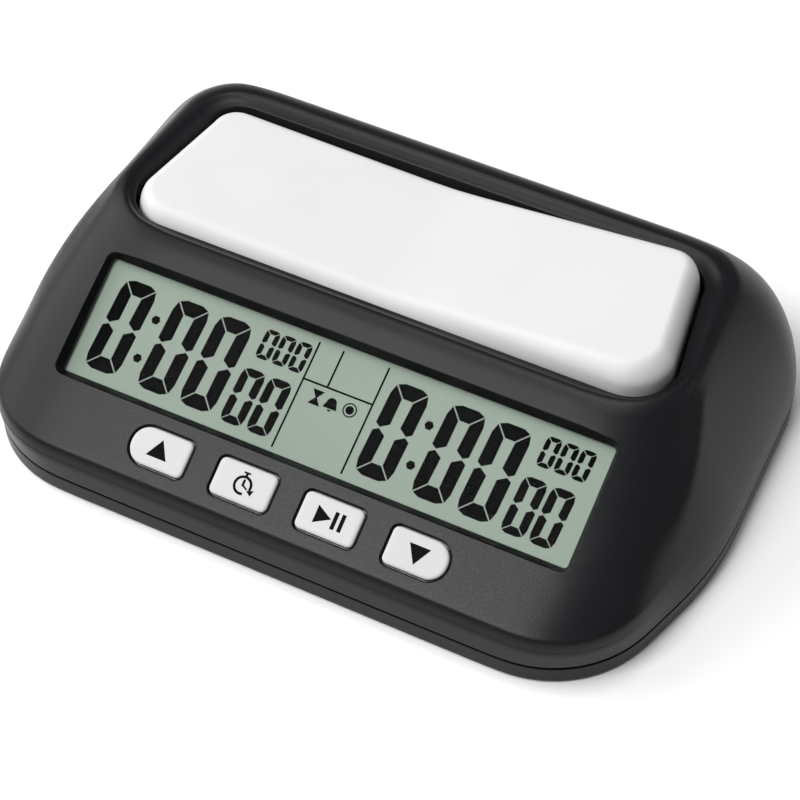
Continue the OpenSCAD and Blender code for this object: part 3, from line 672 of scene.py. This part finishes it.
def add_ears(case):
    """The two bearing ears in the pocket, bored for the rocker's shaft."""
    foot = POCKET_FLOOR - 0.3
    ear = np.vstack([arc(0, PIVOT[2], EAR_R, 0, 180, 24), [[-EAR_R, foot], [EAR_R, foot]]])
    join_on(case, joined([upright_plate(ear, y, y + EAR_T) for y in EAR_YS]))
    carve(case, upright_plate(arc(0, PIVOT[2], SHAFT_R, 0, 360, 32)[:-1], 5, 24))


def build_upper():
    """The dome with everything cut into it."""
    hollow = build_hollow()
    case = new_object("case_upper", upper_outer(), CHARCOAL)
    combine(case, hollow)
    open_window(case)
    open_wells(case)
    bore_upper(case)
    add_ears(case)
    piece(smooth(case), "case", "case_plastic", "upper_housing")


GROOVE_H, GROOVE_DEEP = 0.7, 1.1
LIP_TOP = 6.4
PLATE_TOP = 2
BAY_IN, BAY_WALL, BAY_TOP = 0.7, 1.4, 17.9
REBATE, REBATE_T = 1, 1.6
POST_R, HEAD_R, HEAD_TOP, SCREW_R = 4.2, 2.8, 2.8, 1.6
BUZZER_RING_R, BUZZER_SEAT_R, CHAMBER_R = 11.6, 10.1, 9
KNOB_SLOT_X, KNOB_SLOT_Y = 3.4, 1.7


def lower_shell():
    """The pan's outside, the groove under the parting line and the lip inside the dome."""
    top = PARTING_Z - 0.02
    groove = top - GROOVE_H
    outer = [(FLOOR_Z, 3.2), (RIM_LOW + 0.3, 2.9), (RIM_LOW, 2.6), (RIM_LOW, 0.5),
             (RIM_LOW + 0.1, 0.25), (RIM_LOW + 0.35, 0.06), (RIM_LOW + 0.8, 0),
             (groove - 0.15, 0), (groove - 0.04, 0.04), (groove, 0.14),
             (groove - 0.4, GROOVE_DEEP), (top, GROOVE_DEEP)]
    lip = [(top, 0.2), (LIP_TOP - 0.2, 0.2), (LIP_TOP, 0.4), (LIP_TOP, 1.4), (3, 1.4)]
    return loft([case_ring(z, inset) for z, inset in outer]
                + [case_ring(z, WALL + g, NOSE_WALL + WALL + g) for z, g in lip])


def bay_box():
    """The battery bay's inside in plan: x0, x1, y0, y1."""
    low, high = node_box("battery_door")
    return low[0] + BAY_IN, high[0] - BAY_IN, low[1] + BAY_IN, high[1] - BAY_IN


def grown_slab(box, grow, z0, z1):
    """A slab over a plan box grown by the same width all round."""
    x0, x1, y0, y1 = box
    return slab(x0 - grow, x1 + grow, y0 - grow, y1 + grow, z0, z1)


def add_walls(case, buzzer):
    """The battery bay's walls, the screw posts and the buzzer's ring."""
    join_on(case, grown_slab(bay_box(), BAY_WALL, PLATE_TOP, BAY_TOP + BAY_WALL))
    posts = [cylinder(x, y, POST_R, PLATE_TOP, PARTING_Z) for x, y in CASE_SCREWS]
    join_on(case, joined(posts + [cylinder(*buzzer, BUZZER_RING_R, PLATE_TOP, 6, 64)]))


def cut_bay(case):
    """The battery bay and the rebate that its door fills."""
    carve(case, grown_slab(bay_box(), 0, 0, BAY_TOP))
    carve(case, grown_slab(bay_box(), REBATE, 0, FLOOR_Z + REBATE_T))


def cut_underside(case, buzzer):
    """Contact slots, screw-head recesses, foot seats, sound slots, bores and buzzer seat."""
    x0, x1, y0, y1 = bay_box()
    mid = (y0 + y1) / 2
    bx, by = buzzer
    slots = [slab(x - 2.4, x + 2.4, mid - 1.5, mid + 1.5, 12, 14) for x in (x0, x1)]
    heads = [cylinder(x, y, HEAD_R, 0, HEAD_TOP) for x, y in CASE_SCREWS]
    feet = [cylinder(x, y, FOOT_R + 0.1, 0, FLOOR_Z + 0.6, 56) for x, y in FOOT_CENTRES]
    sound = [slab(bx - 5 + abs(i), bx + 5 - abs(i), by + 2.4 * i - 0.5, by + 2.4 * i + 0.5,
                  0, 3.4) for i in range(-2, 3)]
    carve(case, joined(slots + heads + feet + sound))
    screws = [cylinder(x, y, SCREW_R, 0, 8) for x, y in CASE_SCREWS]
    carve(case, joined(screws + [cylinder(bx, by, CHAMBER_R, 3, 6.5, 64)]))
    carve(case, cylinder(bx, by, BUZZER_SEAT_R, 4.4, 7, 64))


def cut_knob_slot(case, centre):
    """The power switch's recess, with a chamfered edge, and the slot its knob slides in."""
    edge = [(0.8, 0), (0.8, FLOOR_Z), (0, FLOOR_Z + 0.3), (0, FLOOR_Z + 0.8)]
    carve(case, loft([level(round_box(12 + g, 6 + g, 1.2) + centre, z) for g, z in edge]))
    x, y = centre
    carve(case, slab(x - KNOB_SLOT_X, x + KNOB_SLOT_X, y - KNOB_SLOT_Y, y + KNOB_SLOT_Y, 0, 6))


def build_lower():
    """The floor pan with everything that stands on it or is cut through it."""
    buzzer = node_centre("piezo_disc")
    case = new_object("case_lower", lower_shell(), CHARCOAL)
    add_walls(case, buzzer)
    cut_bay(case)
    cut_underside(case, buzzer)
    cut_knob_slot(case, node_centre("power_switch_body"))
    piece(smooth(case), "case", "case_plastic", "lower_housing")


def build_feet():
    """Turned rubber feet with a rounded edge and ring-shaped treads."""
    profile = [(0, 0.35), (1.2, 0.35), (1.5, 0), (2.2, 0), (2.5, 0.3), (3.0, 0.3), (3.3, 0),
               (4.2, 0), (4.65, 0.15), (4.9, 0.45), (FOOT_R, 0.8), (FOOT_R, 1.5), (0, 1.5)]
    shape = joined([turned(profile, x, y) for x, y in FOOT_CENTRES])
    feet = new_object("feet", shape, RUBBER)
    piece(smooth(feet, 40), "case", "foot_rubber", "rubber_feet")


# ---------- rocker ----------

def rocker_ring(grow, depth=None, z=None):
    """A ring of the rocker, level or following the V at a depth below its top."""
    ring = plan_ring(grow, 0)
    ring[:, 2] = z if depth is None else rocker_top(ring[:, 0]) - depth
    return ring


def rocker_top(x):
    """The height of the level rocker's V, rounded in its valley."""
    return ROCKER_SADDLE + ROCKER_VEE * np.sqrt(x * x + 16)


def shrunk(ring, share, drop=0.0):
    """A ring drawn in towards the rocker's middle, on the V surface."""
    middle = np.array([0, ROCKER_MID])
    plan = middle + (ring[:, :2] - middle) * share
    return np.column_stack([plan, rocker_top(plan[:, 0]) - drop])


def at_rest(points):
    """Tips points about the pivot to the rocker's stored position, left side down."""
    p = np.asarray(points) - PIVOT
    c, s = math.cos(REST_TILT), math.sin(REST_TILT)
    x, z = p[:, 0] * c - p[:, 2] * s, p[:, 0] * s + p[:, 2] * c
    return np.column_stack([x, p[:, 1], z]) + PIVOT


EDGE_IN, EDGE_DOWN = 3.4, 6.2


def build_rocker():
    """The thin-walled rocker: inside first, round its foot, then the rolled edge and the top."""
    top_shares = [1, 0.97, 0.93, 0.88, 0.8, 0.7, 0.6, 0.5, 0.4, 0.3, 0.22, 0.15, 0.1, 0.06,
                  0.03, 0.01]
    ceiling = rocker_ring(-ROCKER_SKIN - 0.6, ROCKER_SKIN)
    rings = [shrunk(ceiling, s, ROCKER_SKIN) for s in reversed(top_shares[1:])]
    rings += [ceiling, rocker_ring(-ROCKER_SKIN, ROCKER_SKIN + 0.6),
              rocker_ring(-ROCKER_SKIN, z=ROCKER_FOOT + 0.15),
              rocker_ring(-ROCKER_SKIN + 0.15, z=ROCKER_FOOT),
              rocker_ring(-0.2, z=ROCKER_FOOT), rocker_ring(0, z=ROCKER_FOOT + 0.2)]
    for bend in np.radians(np.linspace(0, 90, 13)):
        drop = EDGE_DOWN * (1 - math.sin(bend))
        rings.append(rocker_ring(-EDGE_IN * (1 - math.cos(bend)), drop))
    rings += [shrunk(rings[-1], s) for s in top_shares[1:]]
    verts, faces = loft(rings)
    rocker = new_object("rocker", (at_rest(verts), faces), WHITE)
    piece(smooth(rocker, 50), "rocker", "rocker_plastic", "rocker_cap")


# ---------- keys and their marks ----------

KEY_TOP = FACE_UP + KEY_PROUD
KEY_TRAVEL = 0.8
MAT_T, MAT_DOME = 0.6, 1.3
STEM_LOW = BOARD_TOP + MAT_T + MAT_DOME + KEY_TRAVEL + 0.1
STEM_R = 1.8
FLANGE_W, FLANGE_T = 0.9, 1
KEY_EDGE_IN, KEY_EDGE_UP = 0.55, 0.5
KEY_FAN = np.radians(np.arange(0, 360, 4))


def build_key(i, node):
    """A key on its stem, with a flange under the face, and its printed mark."""
    x = node_centre(node)[0]

    def ring(outline, w):
        return fan_ring(outline + [x, KEY_V], KEY_FAN, (x, KEY_V)), w

    stem, flange = arc(0, 0, STEM_R, 0, 360, 90)[:-1], key_outline(i, FLANGE_W)
    steps = [ring(stem, STEM_LOW), ring(stem, -FLANGE_T), ring(flange, -FLANGE_T),
             ring(flange, 0), ring(key_outline(i, 0), 0)]
    steps += [ring(key_outline(i, -inset), KEY_TOP - KEY_EDGE_IN + up)
              for inset, up in fillet(KEY_EDGE_IN, KEY_EDGE_UP)]
    steps += [ring(key_outline(i, -1.0), KEY_TOP)]
    key = new_object(node + "_cap", face_loft(steps), KEY_WHITE)
    piece(smooth(key, 50), node, "key_plastic", node)
    outlines = [np.asarray(outline) + [x, KEY_V] for outline in KEY_MARKS[node]]
    mark = flat_prints(node + "_mark", outlines, PRINT, KEY_TOP - 0.03, 0.06)
    piece(smooth(mark), node, "key_plastic")


def stopwatch():
    """A stopwatch with its arrow: an open ring, a crown, two hands and an arrow head."""
    outer, inner = arc(0, -0.25, 1.95, -20, 290, 40), arc(0, -0.25, 1.42, 290, -20, 40)
    crown = [[-0.7, 2.1], [0.7, 2.1], [0.7, 2.45], [-0.7, 2.45]]
    neck = [[-0.25, 1.6], [0.25, 1.6], [0.25, 2.15], [-0.25, 2.15]]
    hand = [[-0.24, -0.45], [0.24, -0.45], [0.24, 0.95], [-0.24, 0.95]]
    short = [[0.15, -0.5], [1.0, -0.95], [1.15, -0.65], [0.2, -0.1]]
    head = [[1.1, -1.0], [2.15, -1.75], [2.55, -0.5]]
    return [np.vstack([outer, inner]), crown, neck, hand, short, head]


KEY_MARKS = {
    "key_up": [[[-2.2, -1.65], [2.2, -1.65], [0, 2.1]]],
    "key_timer": stopwatch(),
    "key_play": [[[-2.9, -1.8], [0.4, 0], [-2.9, 1.8]],
                 [[0.75, -1.75], [1.55, -1.75], [1.55, 1.75], [0.75, 1.75]],
                 [[2.2, -1.75], [3.0, -1.75], [3.0, 1.75], [2.2, 1.75]]],
    "key_down": [[[-2.2, 1.65], [0, -2.1], [2.2, 1.65]]],
}


# ---------- display ----------

SEGMENT_W = -0.79
SEGMENT_T = 0.025
# Zeros as (width, height, upright stroke, end bar, gap between segments).
LARGE_ZERO = (7.7, 19.4, 2.75, 3.0, 0.28)
MEDIUM_ZERO = (5.05, 11.6, 1.75, 1.7, 0.2)
SMALL_ZERO = (3.1, 6.15, 1.05, 0.95, 0.16)
# Their lower left corners, from the middle of a player's group.
LARGE_XS, LARGE_V = (-21.55, -9.6, -0.1), -9.8
MEDIUM_XS, MEDIUM_V = (9.35, 15.15), -10
SMALL_XS, SMALL_V = (10.85, 14.4, 17.95), 4
COLON, COLON_R = [(-11.06, 3.7), (-11.31, -4.67)], 0.95
SLANT = 0.05
RULE_SLANT = 0.02
RULE_W = 0.38
GROUP_X = 30


def digit_zero(width, height, stroke, bar, gap):
    """The six lit segments of a zero, with its lower left corner at the origin.

    The cut corners keep the large zero's proportions at every width.
    """
    mid, g = height / 2, gap / 2
    slope = np.array([stroke - 0.6, 0.7 - bar])
    normal = np.array([-slope[1], slope[0]]) / np.linalg.norm(slope) * g
    k = width / LARGE_ZERO[0]
    apex = np.array([0.6 * k, height - 0.7 * k])
    corner = np.array([stroke, height - bar])
    top = [apex + normal, [2.1 * k, height], [width - 2.1 * k, height],
           [width - apex[0] - normal[0], apex[1] + normal[1]],
           [width - corner[0] - normal[0], corner[1] + normal[1]], corner + normal]
    side = [apex - normal, corner - normal, [stroke, mid + 1.16 * k + g / 2],
            [1.06 * k, mid + g], [0, mid + 0.72 * k + g / 2], [0, height - 2.6 * k]]
    parts = []
    for part in (top, side):
        part = np.array(part)
        parts += [part, part * [1, -1] + [0, height]]
    left = np.array(side)
    parts += [left * [-1, 1] + [width, 0], left * [-1, -1] + [width, height]]
    return parts


def slanted(outlines, x, v):
    """Outlines moved to a place on the display and leaned to the right."""
    placed = []
    for outline in outlines:
        p = np.asarray(outline, float)
        placed.append(np.column_stack([p[:, 0] + SLANT * p[:, 1] + x, p[:, 1] + v]))
    return placed


def clock_group(x):
    """One player's side: three large zeros, three small ones and two middling ones."""
    outlines = []
    for zero, across, v in ((LARGE_ZERO, LARGE_XS, LARGE_V), (SMALL_ZERO, SMALL_XS, SMALL_V),
                            (MEDIUM_ZERO, MEDIUM_XS, MEDIUM_V)):
        for dx in across:
            outlines += slanted(digit_zero(*zero), x + dx, v)
    return outlines + [arc(x + dx, v, COLON_R, 0, 360, 6)[:-1] for dx, v in COLON]


def rules():
    """The thin printed lines that part the display into fields."""
    def upright(x, v0, v1):
        lean = RULE_SLANT * (v1 - v0)
        return [[x, v0], [x + RULE_W, v0], [x + RULE_W + lean, v1], [x + lean, v1]]
    across = [[-8, 3.3], [6.9, 3.3], [6.9, 3.3 + RULE_W], [-8, 3.3 + RULE_W]]
    return [upright(-8.5, -11.2, 11.3), upright(6.5, -11.1, 11.4), upright(-3, 3.7, 11.3), across]


def pictograms():
    """A sand glass, a bell and a ringed dot in the display's middle field."""
    glass = [[[-5.3, 2.4], [-2.8, 2.4], [-3.9, 0.9], [-2.8, -0.6], [-5.3, -0.6], [-4.2, 0.9]]]
    bell = [np.vstack([arc(-0.7, 0.9, 1.05, 0, 180, 12), [[-2.2, -0.25], [0.8, -0.25]]]),
            [[-1.1, -0.45], [-0.3, -0.45], [-0.5, -0.8], [-0.9, -0.8]]]
    dot = [arc(3.2, 0.9, 0.85, 0, 360, 16)[:-1],
           np.vstack([arc(3.2, 0.9, 1.45, 0, 359, 24), arc(3.2, 0.9, 1.2, 359, 0, 24)])]
    return glass + bell + dot


def flat_prints(name, outlines, material, w, thickness):
    """Thin raised outlines on the display face."""
    shapes = [face_loft([(o, w), (o, w + thickness)]) for o in outlines]
    return new_object(name, joined(shapes), material)


def build_display():
    """The dark marks on the display: both players' zeros, the rules and the pictograms."""
    outlines = clock_group(-GROUP_X) + clock_group(GROUP_X) + rules() + pictograms()
    ink = flat_prints("segments", outlines, SEGMENT, SEGMENT_W, SEGMENT_T)
    piece(ink, "case", "lcd_film")


# ---------- underside ----------

DOOR_D, DOOR_T = 16.4, 1.5
GRIP_X, GRIP_PITCH, GRIP_W = (-24.5, -16.5), 2, 0.8


def build_door():
    """The battery door: a plate with a soft lower edge and four grooves for a finger."""
    low, high = node_box("battery_door")
    x, y = node_centre("battery_door")
    width = high[0] - low[0]
    steps = [(0.5, FLOOR_Z), (0.15, FLOOR_Z + 0.12), (0, FLOOR_Z + 0.4), (0, FLOOR_Z + DOOR_T)]
    plate = loft([level(round_box(width - 2 * g, DOOR_D - 2 * g, 1.2 - g / 2) + [x, y], z)
                  for g, z in steps])
    door = new_object("door", plate, CHARCOAL)
    starts = [y - 3.4 + GRIP_PITCH * k for k in range(4)]
    carve(door, joined([slab(*GRIP_X, start, start + GRIP_W, 0, FLOOR_Z + 0.5)
                        for start in starts]))
    piece(smooth(door), "door", "case_plastic", "battery_door")


# ---------- finishes of the carried-over nodes ----------

NODE_FINISH = {
    CLEAR: ["lcd_window"],
    FILM: ["lcd_front_polariser"],
    GLASS: ["lcd_front_glass", "lcd_back_glass"],
    STEEL: ["case_screws", "rocker_shaft", "board_screws", "switch_board_screws",
            "battery_spring", "battery_spring_plate", "battery_positive_contact",
            "quartz_crystal", "lcd_reflector"],
    DARK_STEEL: ["shaft_clips"],
    GREY_PLASTIC: ["rocker_carrier"],
    SILICONE: ["keypad_membrane"],
    CARBON: ["contact_pills"],
    BLACK_PLASTIC: ["lcd_frame", "piezo_retainer", "switch_body_left", "switch_body_right",
                    "power_switch_body"],
    RED_PLASTIC: ["switch_plunger_left", "switch_plunger_right"],
    ZEBRA: ["zebra_strip"],
    BOARD: ["main_board", "switch_board"],
    EPOXY: ["chip_cover"],
    CERAMIC: ["board_capacitors"],
    RIBBON: ["board_ribbon"],
    SLEEVE: ["battery_cell"],
    RED_WIRE: ["wire_positive", "wire_switched"],
    BLACK_WIRE: ["wire_negative"],
    BLUE_WIRE: ["wires_buzzer"],
    BRASS: ["piezo_disc"],
    KNOB: ["power_switch_knob"],
}


def finish_nodes():
    """Gives every carried-over node its material."""
    for material, names in NODE_FINISH.items():
        for name in names:
            mesh = frame["nodes"][name].data
            mesh.materials.clear()
            mesh.materials.append(material)


# ---------- studio ----------

CAMERA_AZ, CAMERA_EL = math.radians(26.62), math.radians(50)
CAMERA_AWAY, CAMERA_ACROSS, CAMERA_OVER = 464.3, 13.03, 1.51
CAMERA_LENS = 109


def build_camera():
    """The camera, turned and moved off the middle of the display."""
    back = np.array([math.sin(CAMERA_AZ) * math.cos(CAMERA_EL),
                     -math.cos(CAMERA_AZ) * math.cos(CAMERA_EL), math.sin(CAMERA_EL)])
    right = np.array([math.cos(CAMERA_AZ), math.sin(CAMERA_AZ), 0])
    up = np.cross(back, right)
    place = (DISPLAY + right * CAMERA_ACROSS + up * CAMERA_OVER + back * CAMERA_AWAY) * MM
    data = bpy.data.cameras.new("camera")
    data.lens = CAMERA_LENS
    camera = bpy.data.objects.new("camera", data)
    turn = Matrix((right, up, back)).transposed().to_4x4()
    camera.matrix_world = Matrix.Translation(Vector(place)) @ turn
    bpy.context.scene.collection.objects.link(camera)
    bpy.context.scene.camera = camera


def softbox(name, direction, distance, size, power):
    """A square light that faces the clock from a direction."""
    towards = Vector(direction).normalized()
    data = bpy.data.lights.new(name, "AREA")
    data.shape = "SQUARE"
    data.size = size
    data.energy = power
    light = bpy.data.objects.new(name, data)
    light.location = towards * distance
    light.rotation_mode = "QUATERNION"
    light.rotation_quaternion = towards.to_track_quat("Z", "Y")
    bpy.context.scene.collection.objects.link(light)


def build_studio():
    """A pale floor that reaches the horizon, an even grey world and four softboxes."""
    floor_paint = finish_material("floor_paint", (0.97, 0.97, 0.97), 0.8, depth=0.02,
                                  grain=400, mottle=0.01, specular=0.1)
    far = 4000
    floor = new_object("floor", slab(-far, far, -far, far, -12, 0), floor_paint)
    world = bpy.data.worlds.new("world")
    world.use_nodes = True
    background = world.node_tree.nodes["Background"]
    background.inputs["Color"].default_value = (1, 1, 1, 1)
    background.inputs["Strength"].default_value = 0.12
    bpy.context.scene.world = world
    softbox("key_light", (-0.27, -0.5, 0.82), 1.6, 0.7, 17)
    softbox("overhead_light", (-0.1, 0.1, 0.99), 1.8, 0.7, 10)
    softbox("rear_light", (0.72, 0.45, 0.5), 1.6, 0.6, 1)
    softbox("left_light", (-0.83, -0.08, 0.53), 1.3, 1.1, 12)
    bpy.context.scene.view_settings.view_transform = "Standard"


# ---------- assembly ----------

build_upper()
build_lower()
build_feet()
build_rocker()
for number, key_node in enumerate(KEY_NODES):
    build_key(number, key_node)
build_display()
build_door()
finish_nodes()
build_camera()
build_studio()
